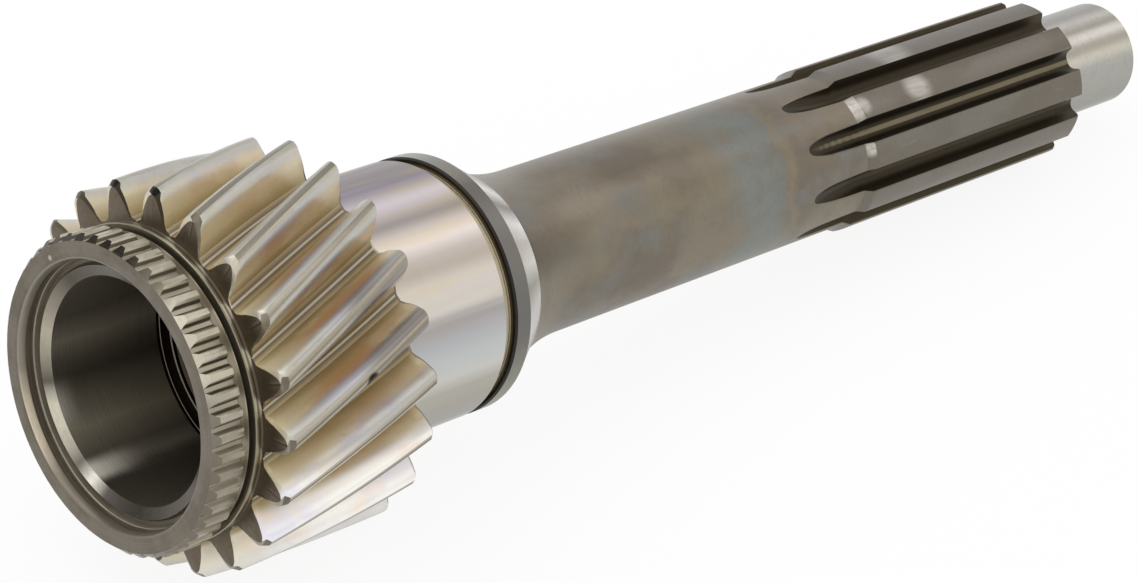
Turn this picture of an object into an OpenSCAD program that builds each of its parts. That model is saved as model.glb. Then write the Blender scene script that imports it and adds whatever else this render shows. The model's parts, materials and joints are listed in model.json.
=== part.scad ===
// Clutch shaft: one steel forging that carries drive from a splined clutch disc into a gearbox.
// From front to back along its axis: coupling ring, helical gear, bearing seat, neck, plain
// shaft, splined length and pilot nose, with a stepped pilot bore in the front end.
// Millimetres, +Z up. The shaft lies as it comes to rest, on two gear teeth and one spline.

/* [Helical gear] */
// Number of gear teeth
gear_teeth = 20; // [19:1:22]
// Normal module of the gear teeth
gear_module = 3.4; // [3.3:0.05:3.6]
// Helix angle of the left-hand teeth
helix_angle = 20.5; // [16:0.5:24]
// Face width of the gear
gear_width = 37.5; // [32:0.5:42]
// Bevel on the tooth tips at both faces
tip_bevel = 1.2; // [0.6:0.1:1.6]

/* [Coupling ring] */
// Number of pointed coupling teeth
coupling_teeth = 50; // [44:1:54]
// Diameter over the coupling teeth
coupling_diameter = 64.8; // [64:0.2:66]
// Height of a coupling tooth
coupling_height = 1.45; // [1.2:0.05:1.6]
// Length of the coupling teeth
coupling_length = 7; // [6:0.25:8]

/* [Pilot bore] */
// Bore for the pilot bearing
bore_diameter = 46; // [44:0.5:48]
// Depth of that bore from the front face
bore_depth = 33; // [28:0.5:36]
// Mouth of the bore, ahead of its lead-in
mouth_diameter = 54; // [52:0.5:55]
// Drilled bottom behind the bore
drill_diameter = 43; // [38:0.5:43]

/* [Shaft] */
// Bearing seat behind the gear
seat_diameter = 55; // [52:0.5:57]
// Length of the bearing seat
seat_length = 30.5; // [26:0.5:34]
// Length of the plain shaft between the neck and the splines
shaft_length = 90.5; // [70:0.5:110]
// Radius that blends the neck into the shaft
neck_radius = 42; // [36:1:50]
// Pilot nose at the far end
nose_diameter = 25; // [22:0.5:26]
// Length of the pilot nose
nose_length = 30; // [24:0.5:36]

/* [Splines] */
// Diameter over the splines
spline_diameter = 38.1; // [38:0.1:40]
// How far the plain shaft lies below the tops of the splines
shaft_step = 1.05; // [0.6:0.05:1.5]
// Number of splines
spline_count = 10; // [8:1:11]
// Width of one spline
spline_width = 6.2; // [5.6:0.1:6.6]
// Depth of the grooves between splines
spline_depth = 3.6; // [3:0.1:3.8]
// Full-diameter length of the splines
spline_length = 74.5; // [60:0.5:90]
// Radius of the cutter that leaves the groove run-outs
cutter_radius = 90; // [70:5:110]

/* [Hidden] */
$fn = 96;
past = 1;

// Gear tooth sizes in the plane across the shaft
pressure_angle = 20;
across_angle = atan(tan(pressure_angle) / cos(helix_angle));
pitch_r = gear_teeth * gear_module / (2 * cos(helix_angle));
base_r = pitch_r * cos(across_angle);
tip_r = pitch_r + gear_module;
root_r = pitch_r - 1.25 * gear_module;
root_fillet = 1.7;
twist_per_mm = tan(helix_angle) / pitch_r * 180 / PI;
fillet_steps = 3;
flank_steps = 4;
helix_steps = 6;

// Radii of the turned steps
coupling_r = coupling_diameter / 2;
coupling_root_r = coupling_r - coupling_height;
rim_r = coupling_root_r - 0.1;
relief_r = rim_r - 1.2;
shoulder_r = root_r - 0.15;
seat_r = seat_diameter / 2;
snap_r = seat_r - 1.4;
spline_r = spline_diameter / 2;
shaft_r = spline_r - shaft_step;
neck_r = shaft_r + 3.6;
spline_root_r = spline_r - spline_depth;
nose_r = nose_diameter / 2;
edge = 0.4;
nose_bevel = 1.2;
end_bevel = 1.4;

// Stations along the axis, from the front face
rim_at = coupling_length;
relief_at = rim_at + 2;
shoulder_at = relief_at + 1.1;
gear_at = shoulder_at + 1.65;
seat_at = gear_at + gear_width;
snap_at = seat_at + seat_length;
land_at = snap_at + 2.5;
cone_at = land_at + 4.2;
neck_at = cone_at + 8.5;
neck_length = sqrt(pow(neck_radius, 2) - pow(neck_radius - neck_r + shaft_r, 2));
shaft_at = neck_at + neck_length;
lead_at = shaft_at + shaft_length;
spline_at = lead_at + 2.2;
spline_end = spline_at + spline_length;
nose_at = spline_end + 2.2;
overall = nose_at + nose_length;

// The gear's contact with the ground, at the back end of its full-diameter tips
contact_at = seat_at - tip_bevel;
contact_r = tip_r * cos(gap_half(tip_r));
rest_tilt = atan((contact_r - spline_r) / (spline_end - contact_at));
rest_height = spline_end * sin(rest_tilt) + spline_r * cos(rest_tilt);
front_reach = coupling_root_r * sin(rest_tilt);
back_reach = overall * cos(rest_tilt) + (nose_r - nose_bevel) * sin(rest_tilt);

// Colour of the bare steel
steel = [0.66, 0.63, 0.6];

function polar(r, a) = [r * cos(a), r * sin(a)];
function mirrored(points) = [for (i = [len(points) - 1:-1:0]) [points[i][0], -points[i][1]]];
function involute(a) = tan(a) * 180 / PI - a;

// Half the angle of a tooth, and of the gap beside it, at radius r
function tooth_half(r) = 90 / gear_teeth + involute(across_angle) - involute(acos(base_r / r));
function gap_half(r) = 180 / gear_teeth - tooth_half(max(r, base_r));

// One side of a tooth gap from its root to past the tips: a fillet, then the involute flank
fillet_r = root_r + root_fillet;
fillet_turn = asin(root_fillet / fillet_r);
fillet_angle = gap_half(base_r) - fillet_turn;
gap_side = concat(
    [for (i = [0:fillet_steps])
        polar(fillet_r, fillet_angle)
        + polar(root_fillet, fillet_angle + 180 - i / fillet_steps * (90 - fillet_turn))],
    [for (i = [1:flank_steps])
        let (r = base_r + (tip_r + past - base_r) * i / flank_steps)
        polar(r, gap_half(r))]
);

// One side of a spline groove: a rounded corner at its floor, then a wall parallel to the spline
half_step = 180 / spline_count;
groove_fillet = 1.8;
corner_r = spline_root_r + groove_fillet;
corner_y = wall_y(corner_r) - groove_fillet / cos(half_step);
function wall_y(r) = r * tan(half_step) - spline_width / 2 / cos(half_step);
groove_side = concat(
    [for (a = [0:(90 - half_step) / 3:90 - half_step])
        [corner_r - groove_fillet * cos(a), corner_y + groove_fillet * sin(a)]],
    [[spline_r + past, wall_y(spline_r + past)]]
);

// The neck's concave blend, from its bright cone down to the plain shaft
blend_angle = asin(neck_length / neck_radius);
neck_blend = [for (i = [0:8])
    let (a = blend_angle * (1 - i / 8))
    [shaft_r + neck_radius * (1 - cos(a)), shaft_at - neck_radius * sin(a)]];

// Everything a lathe makes, as radius and station
module turned_body() {
    rotate_extrude()
        polygon(concat(
            [
                [0, 0],
                [coupling_root_r, 0],
                [coupling_r, coupling_height],
                [coupling_r, rim_at],
                [rim_r, rim_at],
                [rim_r, relief_at],
                [relief_r, relief_at],
                [relief_r, shoulder_at],
                [shoulder_r, shoulder_at],
                [shoulder_r, gear_at],
                [tip_r - tip_bevel, gear_at],
                [tip_r, gear_at + tip_bevel],
                [tip_r, contact_at],
                [tip_r - tip_bevel, seat_at],
                [seat_r, seat_at],
                [seat_r, snap_at - edge],
                [seat_r - edge, snap_at],
                [snap_r, snap_at],
                [snap_r, land_at],
                [seat_r - edge, land_at],
                [seat_r, land_at + edge],
                [seat_r, cone_at]
            ],
            neck_blend,
            [
                [shaft_r, lead_at],
                [spline_r, spline_at],
                [spline_r, spline_end],
                [spline_r - end_bevel, nose_at],
                [nose_r, nose_at],
                [nose_r, overall - nose_bevel],
                [nose_r - nose_bevel, overall],
                [0, overall]
            ]
        ));
}

// Gaps between the helical teeth, with one gap facing the ground where the gear rests
module gear_gaps() {
    cut_length = gear_width + 2 * past;
    cut_twist = cut_length * twist_per_mm;
    for (i = [0:gear_teeth - 1])
        rotate(i * 360 / gear_teeth + (contact_at - gear_at + past) * twist_per_mm)
            translate([0, 0, gear_at - past])
                linear_extrude(height = cut_length, twist = cut_twist, slices = helix_steps, segments = 1)
                    polygon(concat(mirrored(gap_side), gap_side));
}

// Notches that leave the pointed coupling teeth
module coupling_notches() {
    floor_half = 0.4;
    land_half = 0.6;
    step = 360 / coupling_teeth;
    tip_half = coupling_r * sin(step / 2) - land_half;
    spread = (tip_half - floor_half) / coupling_height;
    outer_r = coupling_r + past;
    outer_half = floor_half + spread * (outer_r - coupling_root_r);
    notch = [[coupling_root_r, floor_half], [outer_r, outer_half]];
    for (i = [0:coupling_teeth - 1])
        rotate((i - 0.25) * step)
            translate([0, 0, -past])
                linear_extrude(height = coupling_length + 2 * past)
                    polygon(concat(mirrored(notch), notch));
}

// Grooves between the splines: straight to the nose, with a disc cutter's run-out at the shaft end
module spline_grooves() {
    groove = concat(mirrored(groove_side), groove_side);
    full_depth_at = spline_at + 1.2;
    rim = [for (p = groove) [cutter_radius + spline_root_r - p[0], p[1]]];
    for (i = [0:spline_count - 1])
        rotate((i + 0.5) * 360 / spline_count) {
            translate([0, 0, full_depth_at])
                linear_extrude(height = nose_at - full_depth_at + past)
                    polygon(groove);
            translate([spline_root_r + cutter_radius, 0, full_depth_at])
                rotate([90, 180, 0])
                    rotate_extrude(angle = 18)
                        polygon(rim);
        }
}

// Stepped bore in the front end: mouth, ring groove, sunk step, lead-in, bearing bore with a
// grinding relief near its end, and a drilled bottom
module pilot_bore() {
    mouth_r = mouth_diameter / 2;
    bore_r = bore_diameter / 2;
    drill_r = drill_diameter / 2;
    lead_r = mouth_r - 1.6;
    ring_at = 1.45;
    ring_end = 3.2;
    step_at = 3.6;
    sunk = 1;
    grind_at = bore_depth - 2.2;
    grind_end = grind_at + 0.8;
    point_at = bore_depth + 1;
    rotate_extrude()
        polygon([
            [0, -past],
            [mouth_r + edge, -past],
            [mouth_r + edge, 0],
            [mouth_r, ring_at],
            [mouth_r + 1.2, ring_at],
            [mouth_r + 1.2, ring_end],
            [mouth_r, ring_end],
            [mouth_r, step_at],
            [mouth_r - edge, step_at + sunk],
            [lead_r + edge, step_at + sunk],
            [lead_r, step_at],
            [bore_r, step_at + 1],
            [bore_r, grind_at],
            [bore_r + 0.7, grind_at],
            [bore_r + 0.7, grind_end],
            [bore_r, grind_end],
            [bore_r, bore_depth],
            [drill_r + edge, bore_depth],
            [drill_r, bore_depth + edge],
            [drill_r, point_at],
            [0, point_at + drill_r * tan(30)]
        ]);
}

module clutch_shaft() {
    color(steel)
        translate([(front_reach - back_reach) / 2, 0, rest_height])
            rotate([0, 90 + rest_tilt, 0])
                difference() {
                    turned_body();
                    gear_gaps();
                    coupling_notches();
                    spline_grooves();
                    pilot_bore();
                }
}

clutch_shaft();
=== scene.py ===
import json
import math
import random

import bmesh
import bpy
from mathutils import Matrix, Vector


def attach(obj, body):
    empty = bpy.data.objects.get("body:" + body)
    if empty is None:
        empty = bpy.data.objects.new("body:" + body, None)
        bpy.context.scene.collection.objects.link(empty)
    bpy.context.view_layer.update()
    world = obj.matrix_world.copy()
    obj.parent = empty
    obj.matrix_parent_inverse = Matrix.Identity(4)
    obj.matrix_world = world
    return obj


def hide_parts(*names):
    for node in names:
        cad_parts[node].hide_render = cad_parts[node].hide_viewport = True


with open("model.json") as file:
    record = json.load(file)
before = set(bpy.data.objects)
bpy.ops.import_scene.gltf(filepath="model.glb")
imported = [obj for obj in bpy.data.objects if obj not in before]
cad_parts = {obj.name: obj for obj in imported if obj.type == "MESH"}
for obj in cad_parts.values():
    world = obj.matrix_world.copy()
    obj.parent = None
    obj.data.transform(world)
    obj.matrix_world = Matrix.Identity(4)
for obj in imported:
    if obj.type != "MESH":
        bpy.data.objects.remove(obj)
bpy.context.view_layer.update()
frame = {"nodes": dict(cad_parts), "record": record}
scene = bpy.context.scene
print("frame loaded:", sorted(frame["nodes"]))


def addObject(name, data):
    made = bpy.data.objects.new(name, data)
    scene.collection.objects.link(made)
    return made


def addMesh(name, shape):
    mesh = bpy.data.meshes.new(name)
    shape.to_mesh(mesh)
    shape.free()
    return addObject(name, mesh)


# the shaft's own frame in millimetres: z runs back from the front face, x points down
mounts = {mount["name"]: mount for mount in frame["record"]["mounts"]}
seatMiddle = 64.3  # station of the bearing seat's mount
seatAt = Vector(mounts["bearing_seat"]["pos_m"])
noseAt = Vector(mounts["pilot_nose"]["pos_m"])
axis = (noseAt - seatAt).normalized()
frontAt = seatAt - axis * seatMiddle / 1000
shaftTurn = math.atan2(axis.x, axis.z)
shaftToWorld = Matrix.Translation(frontAt) @ Matrix.Rotation(shaftTurn, 4, "Y") @ Matrix.Scale(0.001, 4)

finishNames = []  # in the order in which the rings take them up

ringCount = 400  # points in every ring round the shaft
evenAngles = [2 * math.pi * i / ringCount for i in range(ringCount)]
shell = bmesh.new()


def polar(radius, angle):
    return radius * math.cos(angle), radius * math.sin(angle)


def circle(radius, angles=evenAngles):
    return [polar(radius, angle) for angle in angles]


def anglesOf(outline):
    return [math.atan2(y, x) for x, y in outline]


def startRing(outline, station):
    ring = bmesh.ops.create_circle(shell, segments=ringCount, radius=1)["verts"]
    for vert, (x, y) in zip(ring, outline):
        vert.co = x, y, station
    return ring


# starts the ring's list at the point that lies nearest to the outline's first point
def turnTo(ring, outline):
    first = Vector((*outline[0], 0)).normalized()
    ahead = [Vector((*vert.co.xy, 0)).normalized().dot(first) for vert in ring]
    start = ahead.index(max(ahead))
    return ring[start:] + ring[:start]


# extrudes the ring's edges to a new outline; finish is a name, or gives a name for each place in the ring
def grow(ring, outline, station, finish):
    pairs = list(zip(ring, ring[1:] + ring[:1]))
    edges = [shell.edges.get(pair) for pair in pairs]
    made = bmesh.ops.extrude_edge_only(shell, edges=edges)["geom"]
    fresh = {item for item in made if isinstance(item, bmesh.types.BMVert)}
    grown = [next(e.other_vert(v) for e in v.link_edges if e.other_vert(v) in fresh) for v in ring]
    for vert, (x, y) in zip(grown, outline):
        vert.co = x, y, station
    for place, edge in enumerate(edges):
        face = next(f for f in edge.link_faces if grown[place] in f.verts)
        name = finish if isinstance(finish, str) else finish(place)
        if name not in finishNames:
            finishNames.append(name)
        face.material_index = finishNames.index(name)
        face.smooth = True
    return grown


def closeRing(ring):
    middle = sum((vert.co for vert in ring), Vector()) / len(ring)
    bmesh.ops.pointmerge(shell, verts=ring, merge_co=middle)


def lathe(ring, profile, angles=evenAngles):
    for station, radius, finish in profile:
        ring = grow(ring, circle(radius, angles), station, finish)
    return ring


# coupling ring: pointed, worn teeth; flank gives shares of a tooth's height, with a drop in millimetres
coupling = dict(teeth=50, tip=32.4, root=30.95, floorHalf=0.4, tipFlat=0.6, length=7, turn=0.25, foot=0.03,
                backBevel=0.15, flank=((0, 0), (0.55, 0), (0.9, 0), (1, 0.04)), wear=0.22, seed=4)
wearDraw = random.Random(coupling["seed"])
toothWear = [wearDraw.random() * coupling["wear"] for tooth in range(coupling["teeth"])]


def couplingOutline(height):
    step = 2 * math.pi / coupling["teeth"]
    root = coupling["root"]
    full = coupling["tip"] - root
    floorHalf = coupling["floorHalf"] / root
    tipHalf = step / 2 - coupling["tipFlat"] / coupling["tip"]
    outline = []
    for tooth in range(coupling["teeth"]):
        notch = (tooth - coupling["turn"]) * step
        side = []
        for share, drop in coupling["flank"]:
            up = share * height
            angle = floorHalf + (tipHalf - floorHalf) * up / full
            side.append((root + up * (1 - toothWear[tooth] * share) - drop * height / full, angle))
        rise = [polar(radius, notch + angle) for radius, angle in side]
        fall = [polar(radius, notch + step - angle) for radius, angle in reversed(side)]
        outline += rise + fall
    return outline


# eight places to a tooth: three up its flank, its front facet, three down, and the floor of the notch
def facetFinish(place):
    return "couplingFront" if place % 8 == 3 else "couplingLand"


# helical gear: rootDepth is in modules, tipGap in radians; a gap faces the ground at the station groundGap
gear = dict(teeth=20, module=3.4, helix=20.5, pressure=20, width=37.5, start=11.75, rootDepth=1.25,
            tipBevel=1.2, backBevel=0.5, backFoot=31, rootFillet=1.9, tipRound=0.7, tipGap=0.001,
            faceBevel=0.35, bevelLean=2.3, slices=18, groundGap=48.05)
gearPitch = 2 * math.pi / gear["teeth"]
helix = math.radians(gear["helix"])
pitchRadius = gear["teeth"] * gear["module"] / (2 * math.cos(helix))
acrossAngle = math.atan(math.tan(math.radians(gear["pressure"])) / math.cos(helix))
baseRadius = pitchRadius * math.cos(acrossAngle)
tipRadius = pitchRadius + gear["module"]
rootRadius = pitchRadius - gear["rootDepth"] * gear["module"]
twist = math.tan(helix) / pitchRadius  # radians for each millimetre


def involute(angle):
    return math.tan(angle) - angle


def gapHalf(radius):
    flank = involute(math.acos(min(1, baseRadius / radius)))
    return gearPitch / 4 - involute(acrossAngle) + flank


# thin narrows each tooth, most at its tip, for the bevel round its end faces
def toothOutline(station, tip, thin=0):
    fillet = gear["rootFillet"]
    filletRadius = rootRadius + fillet
    filletTurn = math.asin(fillet / filletRadius)
    filletAngle = gapHalf(baseRadius) - filletTurn
    side = []
    for share in (0, 0.5, 1):
        turn = filletAngle + math.pi - share * (math.pi / 2 - filletTurn)
        x, y = polar(filletRadius, filletAngle)
        dx, dy = polar(fillet, turn)
        side.append((math.hypot(x + dx, y + dy), math.atan2(y + dy, x + dx) + share * thin / baseRadius))
    top = tip - gear["tipRound"]
    for share in (0.25, 0.5, 0.75, 1):
        radius = baseRadius + (top - baseRadius) * share
        side.append((radius, gapHalf(radius) + thin * (1 + gear["bevelLean"] * share) / radius))
    thin *= 1 + gear["bevelLean"]
    for share, rise in ((0.3, 0.7), (1, 1)):
        angle = gapHalf(tip) + (thin + share * gear["tipRound"]) / tip
        side.append((top + gear["tipRound"] * rise, min(angle, gearPitch / 2 - gear["tipGap"])))
    outline = []
    for tooth in range(gear["teeth"]):
        gap = (gear["groundGap"] - station) * twist + (tooth - 1) * gearPitch
        outline.append(polar(rootRadius, gap))
        outline += [polar(radius, gap + angle) for radius, angle in side]
        outline.append(polar(tip, gap + gearPitch / 2))
        outline += [polar(radius, gap + gearPitch - angle) for radius, angle in reversed(side)]
    return outline


toothPlaces = ringCount // gear["teeth"]


# twenty places to a tooth: up one flank from the middle of the gap, over the tip at 9 and 10, down the other
def toothFinish(place):
    return {9: "toothTip", 10: "toothShade"}.get(place % toothPlaces, "toothFlank")


# tip bevel of the front end, with the rounded edge beside it
def bevelFinish(place):
    return "tipBevel" if 8 < place % toothPlaces < 13 else "toothFlank"


# edge of the front end: dressed with the first flank, and bevelled on the other
def faceEdgeFinish(place):
    return "toothFlank" if place % toothPlaces < 9 else "toothBevel"


# splines: straight grooves with a disc cutter's run-out towards the shaft
splines = dict(count=10, radius=19.05, width=6.2, depth=3.6, corner=1.8, cutter=90, fullDepth=205.863,
               start=204.663, end=280.463, lead=202.463, shaft=18, edge=0.25, edgeShare=0.3, tipInset=0.02,
               wallPoints=9, landPoints=10, longestSide=9, halvings=40, rings=(217, 230, 243, 255, 267),
               runShares=(0.03, 0.08, 0.16, 0.27, 0.4, 0.55, 0.7, 0.85, 1))
splineHalf = math.pi / splines["count"]
grooveRoot = splines["radius"] - splines["depth"]


# height above the groove's floor and distance from its middle, at a length along its side
def grooveSide(length):
    corner = splines["corner"]
    cornerRadius = grooveRoot + corner
    wall = cornerRadius * math.tan(splineHalf) - splines["width"] / 2 / math.cos(splineHalf)
    flat = wall - corner / math.cos(splineHalf)
    arc = math.pi / 2 - splineHalf
    if length < flat:
        return 0, length
    turn = min((length - flat) / corner, arc)
    rest = max(0, length - flat - corner * arc)
    return (corner * (1 - math.cos(turn)) + rest * math.cos(splineHalf),
            flat + corner * math.sin(turn) + rest * math.sin(splineHalf))


def groovePoint(length, station):
    run = max(0, splines["fullDepth"] - station)
    height, across = grooveSide(length)
    out = grooveRoot + splines["cutter"] - math.sqrt((splines["cutter"] - height) ** 2 - run ** 2)
    return math.hypot(out, across), math.atan2(across, out)


def splineOutline(station, bodyRadius):
    floorRadius = groovePoint(0, station)[0]
    edge = min(splines["edge"], splines["edgeShare"] * (bodyRadius - floorRadius))
    # length of the groove's side up to its rounded edge, found by halving
    low, high = 0, splines["longestSide"]
    for step in range(splines["halvings"]):
        middle = (low + high) / 2
        if groovePoint(middle, station)[0] < bodyRadius - edge:
            low = middle
        else:
            high = middle
    walls, lands = splines["wallPoints"], splines["landPoints"]
    side = [groovePoint(low * step / walls, station) for step in range(1, walls + 1)]
    lip = side[-1][1] + edge / bodyRadius
    side += [(bodyRadius, lip + (splineHalf - lip) * step / lands) for step in range(lands)]
    outline = []
    for groove in range(splines["count"]):
        middle = (2 * groove + 1) * splineHalf
        outline.append(polar(floorRadius, middle))
        outline += [polar(radius, middle + angle) for radius, angle in side]
        outline.append(polar(bodyRadius, middle + splineHalf))
        outline += [polar(radius, middle + 2 * splineHalf - angle) for radius, angle in reversed(side)]
    return outline


# names the finish at each place in the ring: the groove's, or the one given for the lands between grooves
def splineFinish(land):
    places = ringCount // splines["count"]

    def finishAt(place):
        place %= places
        return "splineGroove" if min(place, places - 1 - place) < splines["wallPoints"] else land
    return finishAt


# front end: the chain of rings starts at the foot of the coupling teeth
front = startRing(couplingOutline(coupling["foot"]), 0)
# edgeRound and leadRound are small steps, back along the shaft and outwards
mouth = dict(face=29.2, edge=27.4, mouth=27, groove=28.2, sunk=1, lead=25.4, bore=23, relief=23.7,
             drill=21.5, ringStart=1.45, ringEnd=3.2, step=3.6, corner=0.4, leadLength=1, boreMiddle=16,
             reliefStart=30.8, reliefEnd=31.6, reliefEdge=0.1, depth=33, drillEdge=0.2, point=34,
             pointSlope=30, pointRadii=(14, 7, 0.4, 0.1), edgeRound=((0.18, 0.06), (0.5, -0.15)),
             leadRound=((0.1, 0.04, "mouthGroove"), (0.03, -0.1, "leadIn")))
ring = lathe(turnTo(front, circle(1)), [
    (0, mouth["face"], "faceTurned"),
    (0, mouth["edge"] + mouth["corner"], "faceTurned"),
    *[(back, mouth["edge"] + out, "mouthTaper") for back, out in mouth["edgeRound"]],
    (mouth["ringStart"], mouth["mouth"], "mouthTaper"),
    (mouth["ringStart"], mouth["groove"], "mouthGroove"),
    (mouth["ringEnd"], mouth["groove"], "mouthGroove"),
    (mouth["ringEnd"], mouth["mouth"], "mouthGroove"),
    (mouth["step"], mouth["mouth"], "mouthLine"),
    (mouth["step"] + mouth["sunk"], mouth["mouth"] - mouth["corner"], "mouthGroove"),
    (mouth["step"] + mouth["sunk"], mouth["lead"] + mouth["corner"], "mouthGroove"),
    *[(mouth["step"] + back, mouth["lead"] + out, finish) for back, out, finish in mouth["leadRound"]],
    (mouth["step"] + mouth["leadLength"], mouth["bore"], "leadIn"),
    (mouth["boreMiddle"], mouth["bore"], "boreGround"),
    (mouth["reliefStart"], mouth["bore"], "boreGround"),
    (mouth["reliefStart"], mouth["relief"], "paintedShadeGroove"),
    (mouth["reliefEnd"], mouth["relief"], "paintedShadeGroove"),
    (mouth["reliefEnd"], mouth["bore"] + mouth["reliefEdge"], "paintedShadeGroove"),
    (mouth["reliefEnd"] + mouth["reliefEdge"], mouth["bore"], "boreLine"),
    (mouth["depth"], mouth["bore"], "drilledEnd"),
    (mouth["depth"], mouth["drill"] + mouth["drillEdge"], "drilledEnd"),
    (mouth["depth"] + mouth["drillEdge"], mouth["drill"], "boreLine"),
])
pointSlope = math.tan(math.radians(mouth["pointSlope"]))
closeRing(lathe(ring, [
    (mouth["point"] + (mouth["drill"] - radius) * pointSlope, radius, "drilledEnd")
    for radius in (mouth["drill"], *mouth["pointRadii"])
]))

couplingTop = coupling["tip"] - coupling["root"]
couplingEdge = coupling["backBevel"]
ring = grow(front, couplingOutline(couplingTop), couplingTop, facetFinish)
ring = grow(ring, couplingOutline(couplingTop), coupling["length"] - couplingEdge, "couplingLand")
ring = grow(ring, couplingOutline(couplingTop - couplingEdge), coupling["length"], "couplingLand")

# turned rims on both sides of the relief groove
rims = dict(front=30.85, frontEnd=9.2, frontEdge=0.15, groove=29.65, grooveEnd=9.95, back=31.9, backEdge=0.2)
ring = lathe(ring, [
    (coupling["length"], rims["front"], "reliefTurned"),
    (rims["frontEnd"] - rims["frontEdge"], rims["front"], "reliefTurned"),
    (rims["frontEnd"], rims["front"] - rims["frontEdge"], "reliefTurned"),
], anglesOf(couplingOutline(couplingTop)))
ring = lathe(turnTo(ring, circle(1)), [
    (rims["frontEnd"], rims["groove"], "paintedShadeGroove"),
    (rims["grooveEnd"], rims["groove"], "paintedShadeGroove"),
])

# gear: rings follow the helix from face to face
gearEnd = gear["start"] + gear["width"]
lowTip = tipRadius - gear["tipBevel"]
bevel = gear["faceBevel"]
faceOutline = toothOutline(gear["start"], lowTip, bevel)
ring = lathe(turnTo(ring, faceOutline), [
    (rims["grooveEnd"], rims["back"] - rims["backEdge"], "reliefTurned"),
    (rims["grooveEnd"] + rims["backEdge"], rims["back"], "reliefTurned"),
    (gear["start"], rims["back"], "reliefTurned"),
], anglesOf(faceOutline))
ring = grow(ring, faceOutline, gear["start"], "toothEnd")
station = gear["start"] + bevel
ring = grow(ring, toothOutline(station, lowTip + bevel), station, faceEdgeFinish)
firstFull = gear["start"] + gear["tipBevel"]
lastFull = gearEnd - gear["backBevel"]
ring = grow(ring, toothOutline(firstFull, tipRadius), firstFull, bevelFinish)
for cut in range(1, gear["slices"] + 1):
    station = firstFull + (lastFull - firstFull) * cut / gear["slices"]
    ring = grow(ring, toothOutline(station, tipRadius), station, toothFinish)
backOutline = toothOutline(gearEnd, tipRadius - gear["backBevel"], bevel / 2)
ring = grow(ring, backOutline, gearEnd, "toothBevel")
ring = lathe(ring, [(gearEnd, gear["backFoot"], "toothEnd")], anglesOf(backOutline))

# bearing seat, snap ring groove, land and neck
seat = dict(radius=27.5, fillet=0.5, end=79.75, edge=0.4, floor=26.1, lineStart=81.4, lineEnd=81.55,
            corner=0.3, grooveEnd=82.25, landEnd=86.45, landEdge=0.25, landDrop=0.2)
neck = dict(start=94.95, radius=21.6, blend=42, blendSteps=12, shaftStart=111.963)
ring = lathe(turnTo(ring, circle(1)), [
    (gearEnd, seat["radius"] + seat["fillet"], "toothEnd"),
    (gearEnd + seat["fillet"], seat["radius"], "groundSeat"),
    (seat["end"] - seat["edge"], seat["radius"], "groundSeat"),
    (seat["end"], seat["radius"] - seat["edge"], "edgeBright"),
    # the dark rows in the snap ring groove and on the land's edge are painted shade
    (seat["end"], seat["floor"], "paintedShadeGroove"),
    (seat["lineStart"], seat["floor"], "snapFloor"),
    (seat["lineEnd"], seat["floor"], "paintedShadeGroove"),
    (seat["grooveEnd"] - seat["corner"], seat["floor"], "snapFloor"),
    (seat["grooveEnd"], seat["floor"] + seat["corner"], "paintedShadeGroove"),
    (seat["grooveEnd"], seat["radius"] - seat["edge"], "paintedShadeGroove"),
    (seat["grooveEnd"] + seat["edge"], seat["radius"], "paintedShadeEdge"),
    (seat["landEnd"] - seat["landEdge"], seat["radius"], "roughLand"),
    (seat["landEnd"], seat["radius"] - seat["landDrop"], "roughLand"),
    (neck["start"], neck["radius"], "brightCone"),
])
blendSpan = math.asin((neck["shaftStart"] - neck["start"]) / neck["blend"])
for step in range(1, neck["blendSteps"] + 1):
    turn = blendSpan * (1 - step / neck["blendSteps"])
    radius = splines["shaft"] + neck["blend"] * (1 - math.cos(turn))
    ring = grow(ring, circle(radius), neck["shaftStart"] - neck["blend"] * math.sin(turn), "satinShaft")

# plain shaft: its points gather towards the tips of the run-outs
gather = dict(start=0.2, shares=(0, 0.2, 0.4, 0.6, 0.8, 0.95))
depthAtShaft = splines["shaft"] - grooveRoot
runLength = math.sqrt(splines["cutter"] ** 2 - (splines["cutter"] - depthAtShaft) ** 2)
runStart = splines["fullDepth"] - runLength + splines["tipInset"]
tipOutline = splineOutline(runStart, splines["shaft"])
ring = turnTo(ring, tipOutline)
shaftAngles = [splineHalf + angle for angle in evenAngles]
tipAngles = [even + (tip - even + math.pi) % (2 * math.pi) - math.pi
             for even, tip in zip(shaftAngles, anglesOf(tipOutline))]
for share in gather["shares"]:
    along = gather["start"] + (1 - gather["start"]) * share
    station = neck["shaftStart"] + (runStart - neck["shaftStart"]) * along
    angles = [even + (tip - even) * share for even, tip in zip(shaftAngles, tipAngles)]
    ring = grow(ring, circle(splines["shaft"], angles), station, "satinShaft")
ring = grow(ring, tipOutline, runStart, "satinShaft")

for share in splines["runShares"]:
    station = runStart + (splines["lead"] - runStart) * share
    ring = grow(ring, splineOutline(station, splines["shaft"]), station, splineFinish("satinShaft"))
leadOutline = splineOutline(splines["start"], splines["radius"])
ring = grow(ring, leadOutline, splines["start"], splineFinish("splineLead"))
for station in (splines["fullDepth"], *splines["rings"], splines["end"]):
    ring = grow(ring, splineOutline(station, splines["radius"]), station, splineFinish("splineLand"))

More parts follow.
